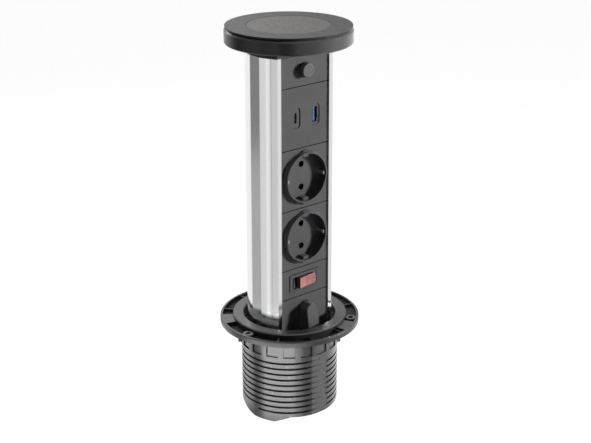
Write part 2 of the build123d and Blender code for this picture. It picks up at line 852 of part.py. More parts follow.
port_front = panel_face - usb_recess_depth
with BuildPart() as usb_c_port:
    with BuildSketch(front(usb_board_front, usb_centre, usb_c_place)):
        SlotOverall(usb_c_height, usb_c_width, rotation=90)
    extrude(amount=port_front - usb_board_front)
    with BuildSketch(front(port_front, usb_centre, usb_c_place)):
        SlotOverall(usb_c_height - 2 * usb_shell_wall, usb_c_width - 2 * usb_shell_wall, rotation=90)
    extrude(amount=-(port_front - usb_board_front - usb_shell_wall), mode=Mode.SUBTRACT)
usb_c_port.part.label = "usb_c_port"
export_step(usb_c_port.part, "parts/usb_c_port.step")

with BuildPart() as usb_c_tongue:
    with BuildSketch(front(usb_board_front + usb_shell_wall, usb_centre, usb_c_place)):
        Rectangle(usb_c_tongue_width, usb_c_tongue_height)
    extrude(amount=port_front - usb_board_front - usb_shell_wall - usb_tongue_drop)
usb_c_tongue.part.label = "usb_c_tongue"
export_step(usb_c_tongue.part, "parts/usb_c_tongue.step")

with BuildPart() as usb_a_port:
    with BuildSketch(front(usb_board_front, usb_centre, usb_a_place)):
        Rectangle(usb_a_width, usb_a_height)
    extrude(amount=port_front - usb_board_front)
    with BuildSketch(front(port_front, usb_centre, usb_a_place)):
        Rectangle(usb_a_width - 2 * usb_shell_wall, usb_a_height - 2 * usb_shell_wall)
    extrude(amount=-(port_front - usb_board_front - usb_shell_wall), mode=Mode.SUBTRACT)
usb_a_port.part.label = "usb_a_port"
export_step(usb_a_port.part, "parts/usb_a_port.step")

with BuildPart() as usb_a_tongue:
    tongue_place = usb_a_place - usb_a_tongue_shift
    with BuildSketch(front(usb_board_front + usb_shell_wall, usb_centre, tongue_place)):
        Rectangle(usb_a_tongue_width, usb_a_tongue_height)
    extrude(amount=port_front - usb_board_front - usb_shell_wall - usb_tongue_drop)
usb_a_tongue.part.label = "usb_a_tongue"
export_step(usb_a_tongue.part, "parts/usb_a_tongue.step")

# Overload button: breaker body behind the top plate, its push button and return spring
plate = panel_plate(top_seam, half_unit_height)
with BuildPart() as panel_top:
    add(plate)
    with BuildSketch(front(panel_face, button_centre)):
        Circle(button_radius + button_hole_gap)
    extrude(amount=-plate_thickness, mode=Mode.SUBTRACT)
panel_top.part.label = "panel_top"
export_step(panel_top.part, "parts/panel_top.step")

with BuildPart() as breaker_body:
    with BuildSketch(front(panel_back, button_centre)):
        Rectangle(breaker_width, breaker_height)
    extrude(amount=-breaker_length)
    with BuildSketch(front(panel_back, button_centre)):
        Circle(button_radius + button_hole_gap)
    extrude(amount=-(panel_back - button_bore_end), mode=Mode.SUBTRACT)
    with BuildSketch(front(button_bore_end, button_centre)):
        Circle(spring_pocket_radius)
    extrude(amount=-spring_pocket_length, mode=Mode.SUBTRACT)
    with BuildSketch(front(spring_pocket_end, button_centre)):
        Circle(button_rod_radius + running_gap)
    rod_reach = button_rod_length + button_travel - (button_back - spring_pocket_end) + breaker_stop_gap
    extrude(amount=-rod_reach, mode=Mode.SUBTRACT)
breaker_body.part.label = "breaker_body"
export_step(breaker_body.part, "parts/breaker_body.step")

with BuildPart() as breaker_tabs:
    with BuildSketch(front(panel_back - breaker_length, button_centre)):
        with Locations((breaker_tab_place, 0), (-breaker_tab_place, 0)):
            Rectangle(breaker_tab_thickness, breaker_tab_width)
    extrude(amount=-breaker_tab_length)
breaker_tabs.part.label = "breaker_tabs"
export_step(breaker_tabs.part, "parts/breaker_tabs.step")

with BuildPart() as overload_button:
    with BuildSketch(front(panel_face + button_proud, button_centre)):
        Circle(button_radius)
    extrude(amount=-(button_proud + button_tail))
    fillet(edges().group_by(Axis.Y)[0], button_edge_round)
    with BuildSketch(front(button_back, button_centre)):
        Circle(button_rod_radius)
    extrude(amount=-button_rod_length)
overload_button.part.label = "overload_button"
export_step(overload_button.part, "parts/overload_button.step")


def coil_spring(radius, wire, turns, front_end, back_end, height):
    """A compression spring between two distances in front of the axis."""
    rise = front_end - back_end - wire
    with BuildPart() as spring:
        with BuildLine() as path:
            Helix(pitch=rise / turns, height=rise, radius=radius)
        with BuildSketch(Plane(origin=path.line @ 0, z_dir=path.line % 0)):
            Circle(wire / 2)
        sweep(path=path.line, is_frenet=True)
    return front(back_end + wire / 2, height).location * spring.part


button_spring = coil_spring(
    breaker_spring_radius,
    breaker_spring_wire,
    breaker_spring_turns,
    button_back,
    spring_pocket_end,
    button_centre,
)
button_spring.label = "button_spring"
export_step(button_spring, "parts/button_spring.step")

# Rocker switch: plate, snap-in body with its bezel, and the rocker
plate = panel_plate(foot_seam, half_unit_height)
with BuildPart() as panel_switch:
    add(plate)
    with BuildSketch(front(panel_face, switch_centre)):
        Rectangle(switch_body_width, switch_body_height)
    extrude(amount=-plate_thickness, mode=Mode.SUBTRACT)
panel_switch.part.label = "panel_switch"
export_step(panel_switch.part, "parts/panel_switch.step")

with BuildPart() as switch_body:
    with BuildSketch(front(panel_face, switch_centre)):
        Rectangle(switch_body_width, switch_body_height)
    extrude(amount=-switch_body_length)
    with BuildSketch(front(panel_face, switch_centre)):
        RectangleRounded(bezel_width, bezel_height, bezel_round)
    extrude(amount=bezel_thickness)
    chamfer(faces().sort_by(Axis.Y)[0].outer_wire().edges(), bezel_chamfer)
    with BuildSketch(front(bezel_face, switch_centre)):
        Rectangle(scoop_width, switch_well_height)
    extrude(amount=-scoop_depth, mode=Mode.SUBTRACT)
    with BuildSketch(front(bezel_face, switch_centre)):
        Rectangle(switch_well_width, switch_well_height)
    extrude(amount=-switch_well_depth, mode=Mode.SUBTRACT)
    with BuildSketch(Plane(origin=(0, -rocker_pivot, switch_centre))):
        Circle(rocker_pin_radius + running_gap)
    extrude(amount=rocker_height / 2 + rocker_pin_length + 2 * running_gap, both=True, mode=Mode.SUBTRACT)
switch_body.part.label = "switch_body"
export_step(switch_body.part, "parts/switch_body.step")

# The rocker leans with its left end out, about an upright pivot
lean = math.radians(rocker_lean)
rocker_plane = Plane(
    origin=(0, -rocker_pivot, switch_centre),
    x_dir=(math.cos(lean), math.sin(lean), 0),
    z_dir=(0, 0, -1),
)
rocker_top = rocker_pivot_depth + rocker_proud
with BuildPart() as rocker:
    with BuildSketch(rocker_plane):
        with BuildLine():
            ThreePointArc(
                (-rocker_width / 2, rocker_top), (0, rocker_top - rocker_dish), (rocker_width / 2, rocker_top)
            )
            Polyline(
                (rocker_width / 2, rocker_top),
                (rocker_width / 2, 0),
                (rocker_root_radius, -rocker_root_radius),
                (-rocker_root_radius, -rocker_root_radius),
                (-rocker_width / 2, 0),
                (-rocker_width / 2, rocker_top),
            )
        make_face()
    extrude(amount=rocker_height / 2, both=True)
    with BuildSketch(rocker_plane):
        Circle(rocker_pin_radius)
    extrude(amount=rocker_height / 2 + rocker_pin_length, both=True)
rocker.part.label = "rocker"
export_step(rocker.part, "parts/rocker.step")


# Foot: the lowest plate, and the latch lever that hangs in its slot
def latch_outline(gap=0.0, drop=0.0):
    """The latch's arched outline seen from the front, drawn in the open sketch."""
    crown = latch_top_width / 2 + gap
    end = latch_end_width / 2 + gap
    with BuildLine() as outline:
        left = (-crown, latch_crown_centre)
        right = (crown, latch_crown_centre)
        ThreePointArc(left, (0, latch_crown_centre + crown), right)
        Polyline(
            (crown, latch_crown_centre),
            (end, -latch_end_drop - drop),
            (-end, -latch_end_drop - drop),
            (-crown, latch_crown_centre),
        )
    make_face(outline.edges())


def latch_face(height):
    """How far in front of the axis the latch's sloping face stands at this height."""
    return latch_face_crown + latch_face_slope * (latch_crown - height)


plate = panel_plate(-foot_panel_tail, foot_panel_tail + foot_seam)
with BuildPart() as panel_foot:
    add(plate)
    # Cheeks that carry the latch pin, the spring seat between them, and the terminal block's posts
    cheek_top = latch_crown
    cheek_bottom = -latch_end_drop
    with BuildSketch(front(panel_back, (cheek_top + cheek_bottom) / 2)):
        cheek_middle = cheek_inside + cheek_thickness / 2
        with Locations((cheek_middle, 0), (-cheek_middle, 0)):
            Rectangle(cheek_thickness, cheek_top - cheek_bottom)
    extrude(amount=-(panel_back - cheek_end))
    with BuildSketch(front(spring_seat_front, latch_spring_height)):
        Rectangle(2 * (cheek_inside + cheek_thickness), spring_seat_height)
    extrude(amount=-spring_seat_thickness)
    with BuildSketch(front(spring_seat_front, latch_spring_height)):
        Circle(spring_peg_radius)
    extrude(amount=spring_peg_length)
    with BuildSketch(front(panel_back, terminal_centre)):
        with Locations((terminal_post_place, 0), (-terminal_post_place, 0)):
            Rectangle(terminal_post_width, terminal_height)
    extrude(amount=-(panel_back - cheek_end))
    with BuildSketch(front(panel_face, 0)):
        latch_outline(latch_slot_gap, latch_slot_drop)
    extrude(amount=-plate_thickness, mode=Mode.SUBTRACT)
    with BuildSketch(Plane(origin=(0, -latch_pivot_depth, latch_pivot_height), z_dir=(1, 0, 0))):
        Circle(latch_pin_radius)
    extrude(amount=latch_pin_length, both=True, mode=Mode.SUBTRACT)
panel_foot.part.label = "panel_foot"
export_step(panel_foot.part, "parts/panel_foot.step")

with BuildPart() as latch:
    with BuildSketch(front(cheek_end, 0)):
        latch_outline()
    extrude(amount=latch_toe_distance)
    toe_top = -latch_end_drop + latch_toe_height
    toe_start = toe_top + latch_toe_slope
    side_points = [
        (latch_face(latch_crown + overrun), latch_crown + overrun),
        (latch_face(toe_start), toe_start),
        (latch_toe_distance, toe_top),
        (latch_toe_distance, -latch_end_drop),
        (latch_back_end, -latch_end_drop),
        (latch_back_end, latch_knee_height),
        (latch_back_waist, latch_waist_height),
        (latch_back_top, latch_pivot_height - 2 * latch_pin_radius),
        (latch_back_top, latch_crown + overrun),
    ]
    with BuildSketch(Plane.YZ):
        with BuildLine():
            Polyline(*[(-distance, height) for distance, height in side_points], close=True)
        make_face()
    extrude(amount=latch_end_width, both=True, mode=Mode.INTERSECT)
    with BuildSketch(front(latch_back_end, latch_spring_height)):
        Circle(latch_pocket_radius)
    extrude(amount=latch_pocket_depth, mode=Mode.SUBTRACT)
    with BuildSketch(Plane(origin=(0, -latch_pivot_depth, latch_pivot_height), z_dir=(1, 0, 0))):
        Circle(latch_pin_radius + running_gap)
    extrude(amount=latch_end_width, both=True, mode=Mode.SUBTRACT)
latch.part.label = "latch"
export_step(latch.part, "parts/latch.step")

with BuildPart() as latch_pin:
    with BuildSketch(Plane(origin=(0, -latch_pivot_depth, latch_pivot_height), z_dir=(1, 0, 0))):
        Circle(latch_pin_radius)
    extrude(amount=latch_pin_length / 2, both=True)
latch_pin.part.label = "latch_pin"
export_step(latch_pin.part, "parts/latch_pin.step")

latch_spring = coil_spring(
    latch_spring_radius,
    latch_spring_wire,
    latch_spring_turns,
    latch_pocket_floor,
    spring_seat_front,
    latch_spring_height,
)
latch_spring.label = "latch_spring"
export_step(latch_spring, "parts/latch_spring.step")

# Terminal block that the bars end in
bar_places = ((-bar_offset, live_bar_front), (0, earth_bar_front), (bar_offset, live_bar_front))
with BuildPart() as terminal_block:
    with BuildSketch(front(cheek_end, terminal_centre)):
        Rectangle(terminal_width, terminal_height)
    extrude(amount=-terminal_depth)
    for x, bar_front in bar_places:
        with BuildSketch(Plane(origin=(x, -bar_front + bar_thickness / 2, terminal_top))):
            Rectangle(bar_width, bar_thickness)
        extrude(amount=-bar_end_lap, mode=Mode.SUBTRACT)
        with BuildSketch(front(cheek_end, terminal_centre + terminal_height / 4, x)):
            Circle(terminal_screw_radius)
        extrude(amount=-(cheek_end - bar_front), mode=Mode.SUBTRACT)
terminal_block.part.label = "terminal_block"
export_step(terminal_block.part, "parts/terminal_block.step")

with BuildPart() as terminal_screws:
    for x, bar_front in bar_places:
        with BuildSketch(front(cheek_end - terminal_screw_head, terminal_centre + terminal_height / 4, x)):
            Circle(terminal_screw_radius)
        extrude(amount=-(cheek_end - terminal_screw_head - bar_front))
terminal_screws.part.label = "terminal_screws"
export_step(terminal_screws.part, "parts/terminal_screws.step")

# End cap, its four screws and the cable gland
with BuildPart() as end_cap:
    with BuildSketch(Plane.XY.offset(-column_tail)):
        column_outline()
        with Locations(port_points()):
            Circle(port_screw_radius, mode=Mode.SUBTRACT)
        Circle(gland_hole_radius, mode=Mode.SUBTRACT)
    extrude(amount=-end_cap_thickness)
end_cap.part.label = "end_cap"
export_step(end_cap.part, "parts/end_cap.step")

end_cap_bottom = -column_tail - end_cap_thickness
with BuildPart() as end_cap_screws:
    with BuildSketch(Plane.XY.offset(end_cap_bottom)):
        with Locations(port_points()):
            Circle(port_screw_head_radius)
    extrude(amount=-port_screw_head_height)
    with BuildSketch(Plane.XY.offset(end_cap_bottom)):
        with Locations(port_points()):
            Circle(port_screw_radius)
    extrude(amount=port_screw_length)
end_cap_screws.part.label = "end_cap_screws"
export_step(end_cap_screws.part, "parts/end_cap_screws.step")

with BuildPart() as gland_body:
    with BuildSketch(Plane.XY.offset(end_cap_bottom)):
        Circle(gland_hole_radius)
    extrude(amount=gland_stem_height)
    with BuildSketch(Plane.XY.offset(end_cap_bottom)):
        RegularPolygon(radius=gland_flange_radius, side_count=6)
    extrude(amount=-gland_flange_height)
    with BuildSketch(Plane.XY.offset(end_cap_bottom - gland_flange_height)):
        Circle(cable_bore_radius)
    extrude(amount=gland_flange_height + gland_stem_height, mode=Mode.SUBTRACT)
gland_body.part.label = "gland_body"
export_step(gland_body.part, "parts/gland_body.step")

with BuildPart() as gland_locknut:
    with BuildSketch(Plane.XY.offset(-column_tail)):
        RegularPolygon(radius=gland_flange_radius, side_count=6)
        Circle(gland_hole_radius, mode=Mode.SUBTRACT)
    extrude(amount=gland_locknut_height)
gland_locknut.part.label = "gland_locknut"
export_step(gland_locknut.part, "parts/gland_locknut.step")

with BuildPart() as gland_nut:
    with BuildSketch(Plane.XY.offset(end_cap_bottom - gland_flange_height)):
        Circle(gland_nut_radius)
    extrude(amount=-gland_nut_height)
    fillet(edges().group_by(Axis.Z)[0], gland_nut_round)
    with BuildSketch(Plane.XY.offset(end_cap_bottom - gland_flange_height)):
        Circle(cable_bore_radius)
    extrude(amount=-gland_nut_height, mode=Mode.SUBTRACT)
gland_nut.part.label = "gland_nut"
export_step(gland_nut.part, "parts/gland_nut.step")

# Neck between the column and the cap
cap_screw_places = []
for index in range(cap_screw_count):
    cap_screw_places.append(around(cap_screw_circle, cap_screw_angle + index * 360 / cap_screw_count))
lid_screw_places = []
for index in range(lid_screw_count):
    lid_screw_places.append(around(lid_screw_circle, index * 360 / lid_screw_count))
with BuildPart() as neck:
    with BuildSketch(Plane.XY.offset(column_top)):
        column_outline(neck_inset)
        Circle(neck_bore_radius, mode=Mode.SUBTRACT)
        with Locations((0, lead_place)):
            Circle(lead_radius + lead_hole_gap, mode=Mode.SUBTRACT)
        with Locations(port_points()):
            Circle(port_screw_radius, mode=Mode.SUBTRACT)
    extrude(amount=neck_height)
    head_seat = cap_bottom - port_screw_head_height - port_screw_gap
    with BuildSketch(Plane.XY.offset(head_seat)):
        with Locations(port_points()):
            Circle(port_screw_head_radius + port_screw_gap)
    extrude(amount=port_screw_head_height + port_screw_gap, mode=Mode.SUBTRACT)
    with BuildSketch(Plane.XY.offset(cap_bottom)):
        with Locations(cap_screw_places):
            Circle(cap_screw_radius)
    extrude(amount=-(cap_screw_length - cap_floor), mode=Mode.SUBTRACT)
neck.part.label = "neck"
export_step(neck.part, "parts/neck.step")

with BuildPart() as neck_screws:
    with BuildSketch(Plane.XY.offset(head_seat)):
        with Locations(port_points()):
            Circle(port_screw_head_radius)
    extrude(amount=port_screw_head_height)
    with BuildSketch(Plane.XY.offset(head_seat)):
        with Locations(port_points()):
            Circle(port_screw_radius)
    extrude(amount=-port_screw_length)
neck_screws.part.label = "neck_screws"
export_step(neck_screws.part, "parts/neck_screws.step")

# Cap base: a dish with posts for the charger board
floor_top = cap_bottom + cap_floor
board_bottom = floor_top + charger_board_lift
with BuildPart() as cap_base:
    with BuildSketch(Plane.XZ):
        with BuildLine():
            Polyline(
                (0, cap_bottom),
                (cap_radius - cap_foot_round, cap_bottom),
                (cap_radius, cap_bottom + cap_foot_round),
                (cap_radius, cap_shoulder - cap_top_chamfer),
                (cap_radius - cap_top_chamfer, cap_shoulder),
                (cap_radius - cap_wall, cap_shoulder),
                (cap_radius - cap_wall, floor_top),
                (0, floor_top),
                close=True,
            )
        make_face()
    revolve(axis=Axis.Z)
    with BuildSketch(Plane.XY.offset(floor_top)):
        with GridLocations(2 * board_post_x, 2 * board_post_y, 2, 2):
            Circle(board_post_radius)
    extrude(amount=charger_board_lift)
    with BuildSketch(Plane.XY.offset(cap_bottom)):
        with Locations(cap_screw_places):
            Circle(cap_screw_radius)
        with Locations(lid_screw_places):
            Circle(lid_screw_radius)
        with Locations((0, lead_place)):
            Circle(lead_radius + lead_hole_gap)
    extrude(amount=cap_floor, mode=Mode.SUBTRACT)
    with BuildSketch(Plane.XY.offset(cap_bottom)):
        with Locations(lid_screw_places):
            Circle(lid_screw_head_radius)
    extrude(amount=lid_screw_head_height, mode=Mode.SUBTRACT)
cap_base.part.label = "cap_base"
export_step(cap_base.part, "parts/cap_base.step")

with BuildPart() as cap_screws:
    with BuildSketch(Plane.XY.offset(floor_top)):
        with Locations(cap_screw_places):
            Circle(cap_screw_head_radius)
    extrude(amount=cap_screw_head_height)
    with BuildSketch(Plane.XY.offset(floor_top)):
        with Locations(cap_screw_places):
            Circle(cap_screw_radius)
    extrude(amount=-cap_screw_length)
cap_screws.part.label = "cap_screws"
export_step(cap_screws.part, "parts/cap_screws.step")

# Lid of the cap, with the recess for the charging pad
plate_bottom = cap_top - lid_plate_thickness
spigot_radius = cap_radius - cap_wall - lid_spigot_gap
with BuildPart() as cap_lid:
    with BuildSketch(Plane.XY.offset(lid_underside)):
        Circle(lid_radius)
    extrude(amount=lid_lip_thickness)
    with BuildSketch(Plane.XY.offset(plate_bottom)):
        Circle(spigot_radius)
    extrude(amount=lid_underside - plate_bottom)
    with BuildSketch(Plane.XY.offset(plate_bottom)):
        Circle(spigot_radius)
        Circle(spigot_radius - lid_spigot_wall, mode=Mode.SUBTRACT)
    extrude(amount=-lid_spigot_height)
    with BuildSketch(Plane.XY.offset(floor_top)):
        with Locations(lid_screw_places):
            Circle(lid_boss_radius)
    extrude(amount=plate_bottom - floor_top)
    with BuildSketch(Plane.XY.offset(floor_top)):
        with Locations(lid_screw_places):
            Circle(lid_screw_radius)
    extrude(amount=plate_bottom - floor_top, mode=Mode.SUBTRACT)
    with BuildSketch(Plane.XY.offset(cap_top)):
        Circle(pad_radius + pad_groove)
    extrude(amount=-pad_thickness - pad_drop, mode=Mode.SUBTRACT)
cap_lid.part.label = "cap_lid"
export_step(cap_lid.part, "parts/cap_lid.step")

with BuildPart() as lid_screws:
    with BuildSketch(Plane.XY.offset(cap_bottom)):
        with Locations(lid_screw_places):
            Circle(lid_screw_head_radius)
    extrude(amount=lid_screw_head_height)
    with BuildSketch(Plane.XY.offset(cap_bottom)):
        with Locations(lid_screw_places):
            Circle(lid_screw_radius)
    extrude(amount=lid_screw_length)
lid_screws.part.label = "lid_screws"
export_step(lid_screws.part, "parts/lid_screws.step")

with BuildPart() as charging_pad:
    with BuildSketch(Plane.XY.offset(cap_top - pad_drop)):
        Circle(pad_radius)
    extrude(amount=-pad_thickness)
charging_pad.part.label = "charging_pad"
export_step(charging_pad.part, "parts/charging_pad.step")

coil_top = plate_bottom - coil_gap
with BuildPart() as charging_coil:
    with BuildSketch(Plane.XY.offset(coil_top)):
        Circle(coil_outer_radius)
        Circle(coil_inner_radius, mode=Mode.SUBTRACT)
    extrude(amount=-coil_thickness)
charging_coil.part.label = "charging_coil"
export_step(charging_coil.part, "parts/charging_coil.step")

with BuildPart() as ferrite_sheet:
    with BuildSketch(Plane.XY.offset(coil_top - coil_thickness)):
        Circle(ferrite_radius)
    extrude(amount=-ferrite_thickness)
ferrite_sheet.part.label = "ferrite_sheet"
export_step(ferrite_sheet.part, "parts/ferrite_sheet.step")

with BuildPart() as charger_board:
    with BuildSketch(Plane.XY.offset(board_bottom)):
        Rectangle(charger_board_width, charger_board_depth)
    extrude(amount=board_thickness)
    with BuildSketch(Plane.XY.offset(board_bottom + board_thickness)):
        Rectangle(charger_chip_size, charger_chip_size)
    extrude(amount=charger_chip_height)
charger_board.part.label = "charger_board"
export_step(charger_board.part, "parts/charger_board.step")

# Lead from the USB board up to the charger board
lead_start = usb_centre + usb_board_height / 2 - lead_start_drop
with BuildPart() as charger_lead:
    with BuildLine() as lead_path:
        FilletPolyline(
            (0, -board_back, lead_start), (0, lead_place, lead_start), (0, lead_place, board_bottom),
            radius=lead_bend_radius,
        )
    with BuildSketch(Plane(origin=lead_path.line @ 0, z_dir=lead_path.line % 0)):
        Circle(lead_radius)
    sweep(path=lead_path.line)
charger_lead.part.label = "charger_lead"
export_step(charger_lead.part, "parts/charger_lead.step")
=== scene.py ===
import json
import math

import bmesh
import bpy
from mathutils import Matrix, Vector

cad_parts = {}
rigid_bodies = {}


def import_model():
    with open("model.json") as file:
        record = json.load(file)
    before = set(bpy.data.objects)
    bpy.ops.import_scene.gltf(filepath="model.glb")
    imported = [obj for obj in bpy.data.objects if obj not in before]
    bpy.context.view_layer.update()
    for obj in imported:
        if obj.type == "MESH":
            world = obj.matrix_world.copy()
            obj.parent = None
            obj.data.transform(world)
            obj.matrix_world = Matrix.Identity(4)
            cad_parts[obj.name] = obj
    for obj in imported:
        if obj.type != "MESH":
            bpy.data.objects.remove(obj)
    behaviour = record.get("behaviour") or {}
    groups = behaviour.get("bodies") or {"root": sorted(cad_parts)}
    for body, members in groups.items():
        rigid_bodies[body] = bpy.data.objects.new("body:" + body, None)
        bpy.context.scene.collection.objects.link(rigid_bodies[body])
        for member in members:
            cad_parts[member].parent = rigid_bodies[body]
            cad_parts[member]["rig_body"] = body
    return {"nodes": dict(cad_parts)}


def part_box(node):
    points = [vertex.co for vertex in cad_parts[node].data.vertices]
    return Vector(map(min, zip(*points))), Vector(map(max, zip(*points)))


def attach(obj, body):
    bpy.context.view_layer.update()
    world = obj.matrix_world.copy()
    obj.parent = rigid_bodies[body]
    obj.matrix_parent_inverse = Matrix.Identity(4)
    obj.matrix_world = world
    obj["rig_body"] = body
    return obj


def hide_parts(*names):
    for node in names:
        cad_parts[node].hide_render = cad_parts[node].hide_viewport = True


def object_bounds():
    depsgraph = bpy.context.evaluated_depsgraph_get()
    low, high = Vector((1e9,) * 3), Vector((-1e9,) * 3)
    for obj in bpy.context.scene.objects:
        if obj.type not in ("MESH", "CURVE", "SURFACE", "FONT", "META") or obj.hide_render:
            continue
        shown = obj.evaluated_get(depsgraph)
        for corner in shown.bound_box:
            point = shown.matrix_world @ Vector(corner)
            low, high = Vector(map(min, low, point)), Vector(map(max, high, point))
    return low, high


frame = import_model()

cad_box = [list(corner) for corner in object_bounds()]
MM = 0.001
NODES = frame["nodes"]
BODY_OF = {node: obj["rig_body"] for node, obj in NODES.items()}


# Materials
class Nodes:
    """A material's node tree with short calls for what the materials below share."""

    def __init__(self, name):
        self.material = bpy.data.materials.new(name)
        self.material.use_nodes = True
        self.tree = self.material.node_tree
        self.shader = self.tree.nodes["Principled BSDF"]
        self.coords = self.add("ShaderNodeTexCoord").outputs["Object"]

    def add(self, kind, **values):
        node = self.tree.nodes.new(kind)
        for key, value in values.items():
            setattr(node, key, value)
        return node

    def link(self, source, target):
        self.tree.links.new(source, target)

    def scaled(self, scale):
        node = self.add("ShaderNodeMapping")
        node.inputs["Scale"].default_value = scale
        self.link(self.coords, node.inputs["Vector"])
        return node.outputs["Vector"]

    def noise(self, scale, detail=4.0, stretch=(1, 1, 1), roughness=0.5):
        node = self.add("ShaderNodeTexNoise")
        node.inputs["Scale"].default_value = scale
        node.inputs["Detail"].default_value = detail
        node.inputs["Roughness"].default_value = roughness
        self.link(self.scaled(stretch), node.inputs["Vector"])
        return node.outputs["Fac"]

    def spread(self, source, low, high, start=0.3, end=0.7):
        """Maps a noise to a range of numbers."""
        node = self.add("ShaderNodeMapRange")
        node.inputs["From Min"].default_value = start
        node.inputs["From Max"].default_value = end
        node.inputs["To Min"].default_value = low
        node.inputs["To Max"].default_value = high
        self.link(source, node.inputs["Value"])
        return node.outputs["Result"]

    def tint(self, source, dark, light, start=0.3, end=0.7):
        """A colour that runs from dark to light with a noise."""
        node = self.add("ShaderNodeMix", data_type="RGBA")
        self.link(self.spread(source, 0, 1, start, end), node.inputs["Factor"])
        node.inputs["A"].default_value = (*dark, 1)
        node.inputs["B"].default_value = (*light, 1)
        return node.outputs["Result"]

    def bump(self, height, distance, strength, below=None):
        node = self.add("ShaderNodeBump")
        node.inputs["Distance"].default_value = distance
        node.inputs["Strength"].default_value = strength
        self.link(height, node.inputs["Height"])
        if below is not None:
            self.link(below, node.inputs["Normal"])
        return node.outputs["Normal"]

    def rounding(self, radius):
        node = self.add("ShaderNodeBevel", samples=6)
        node.inputs["Radius"].default_value = radius
        return node.outputs["Normal"]

    def set(self, **values):
        for key, value in values.items():
            self.shader.inputs[key.replace("_", " ")].default_value = value


def shade(colour, factor):
    return tuple(channel * factor for channel in colour)


def moulded(name, colour, rough=0.45, grain=1600.0, depth=0.00002, edge=0.00018, specular=0.5):
    """Injection-moulded plastic: fine spark grain, faint cloudiness and rounded edges."""
    m = Nodes(name)
    cloud = m.noise(38.0, 3.0)
    m.link(m.tint(cloud, shade(colour, 0.93), shade(colour, 1.07)), m.shader.inputs["Base Color"])
    m.link(m.spread(m.noise(220.0, 4.0), rough * 0.9, rough * 1.12), m.shader.inputs["Roughness"])
    normal = m.bump(m.noise(grain, 2.0), depth, 0.5, m.rounding(edge) if edge else None)
    m.link(normal, m.shader.inputs["Normal"])
    m.set(Specular_IOR_Level=specular)
    return m.material


def metal(name, colour, rough=0.3, stretch=(1, 1, 1), scale=400.0, streak=0.12, depth=0.000004):
    """Drawn or plated metal with streaks along one axis."""
    m = Nodes(name)
    lines = m.noise(scale, 5.0, stretch, 0.6)
    streaks = m.tint(lines, shade(colour, 1 - streak), shade(colour, 1 + streak / 3))
    m.link(streaks, m.shader.inputs["Base Color"])
    m.link(m.spread(lines, rough * 0.8, rough * 1.25), m.shader.inputs["Roughness"])
    m.link(m.bump(lines, depth, 0.6, m.rounding(0.0001)), m.shader.inputs["Normal"])
    m.set(Metallic=1.0)
    return m.material


ALONG = (60, 60, 0.6)
barrel_grey = moulded("barrel_grey", (0.120, 0.120, 0.122), rough=0.25, grain=1500.0, depth=0.00001, edge=0,
                      specular=1.0)
flange_black = moulded("flange_black", (0.030, 0.030, 0.031), rough=0.4, grain=1500.0, depth=0.00001,
                       edge=0.0004, specular=0.85)
panel_grey = moulded("panel_grey", (0.145, 0.145, 0.149), rough=0.38, edge=0.00006, specular=0.2)
cap_black = moulded("cap_black", (0.13, 0.13, 0.133), rough=0.24, grain=1400.0, depth=0.00001, specular=0.3)
lid_grey = moulded("lid_grey", (0.055, 0.057, 0.057), grain=1500.0, depth=0.00003, specular=0.25)
latch_grey = moulded("latch_grey", (0.125, 0.125, 0.129), rough=0.36, specular=0.4)
inner_black = moulded("inner_black", (0.012, 0.012, 0.013), rough=0.55)
liner_black = moulded("liner_black", (0.02, 0.02, 0.021), rough=0.5)
button_grey = moulded("button_grey", (0.14, 0.14, 0.145), rough=0.4, grain=1200.0)
terminal_white = moulded("terminal_white", (0.62, 0.60, 0.55), rough=0.5)
port_blue = moulded("port_blue", (0.10, 0.20, 0.52), rough=0.4)
board_green = moulded("board_green", (0.02, 0.09, 0.04), rough=0.35, grain=700.0)
column_aluminium = metal("column_aluminium", (0.90, 0.90, 0.905), rough=0.15, stretch=ALONG, scale=90.0,
                         streak=0.05, depth=0.0000015)
steel = metal("steel", (0.55, 0.55, 0.56))
tinned = metal("tinned", (0.72, 0.72, 0.72), rough=0.25)
port_shell = metal("port_shell", (0.09, 0.09, 0.095), rough=0.45)
# Brass drawn very dark and dull: painted shade for the contacts seen through the pin holes.
brass = metal("brass", (0.13, 0.098, 0.05), rough=0.6)
copper = metal("copper", (0.70, 0.33, 0.18), rough=0.25, scale=900.0, streak=0.25)


def red_lens_painted_bloom():
    """Translucent red plastic drawn opaque, with the bloom of a lamp behind its face painted as paler tones.
    """
    m = Nodes("red_lens_painted_bloom")
    cloud = m.noise(260.0, 3.0)
    m.link(m.tint(cloud, (0.50, 0.16, 0.155), (0.68, 0.28, 0.27)), m.shader.inputs["Base Color"])
    m.link(m.bump(m.noise(700.0, 2.0), 0.00001, 0.4, m.rounding(0.0003)), m.shader.inputs["Normal"])
    m.set(Roughness=0.22, Coat_Weight=0.4, Coat_Roughness=0.12)
    return m.material


def pad_skin():
    """The charging pad's soft skin: warm dark grey with a fine leather-like grain."""
    m = Nodes("pad_skin")
    cloud = m.noise(90.0, 4.0)
    m.link(m.tint(cloud, (0.115, 0.100, 0.095), (0.140, 0.124, 0.119)), m.shader.inputs["Base Color"])
    m.link(m.spread(m.noise(500.0, 3.0), 0.42, 0.58), m.shader.inputs["Roughness"])
    m.link(m.bump(m.noise(1500.0, 3.0), 0.00004, 0.5), m.shader.inputs["Normal"])
    return m.material


# The rocker's face: red with a painted bloom of lamp light.
rocker_red_painted_bloom = red_lens_painted_bloom()
# Dark red painted shade for the rocker's sides.
rocker_side_painted_shade = moulded("rocker_side_painted_shade", (0.10, 0.012, 0.012), rough=0.3, grain=700.0, depth=0.00001,
                      edge=0.0001, specular=0.3)
# Near-black painted shade for the seams at the plates' edges, the thread's groove, the grip pads' walls, the
# pin holes, the port recesses' walls and the bezel's edge.
painted_shade = moulded("painted_shade", (0.012, 0.012, 0.012), rough=0.6, depth=0.00001, edge=0.00003,
                    specular=0.1)
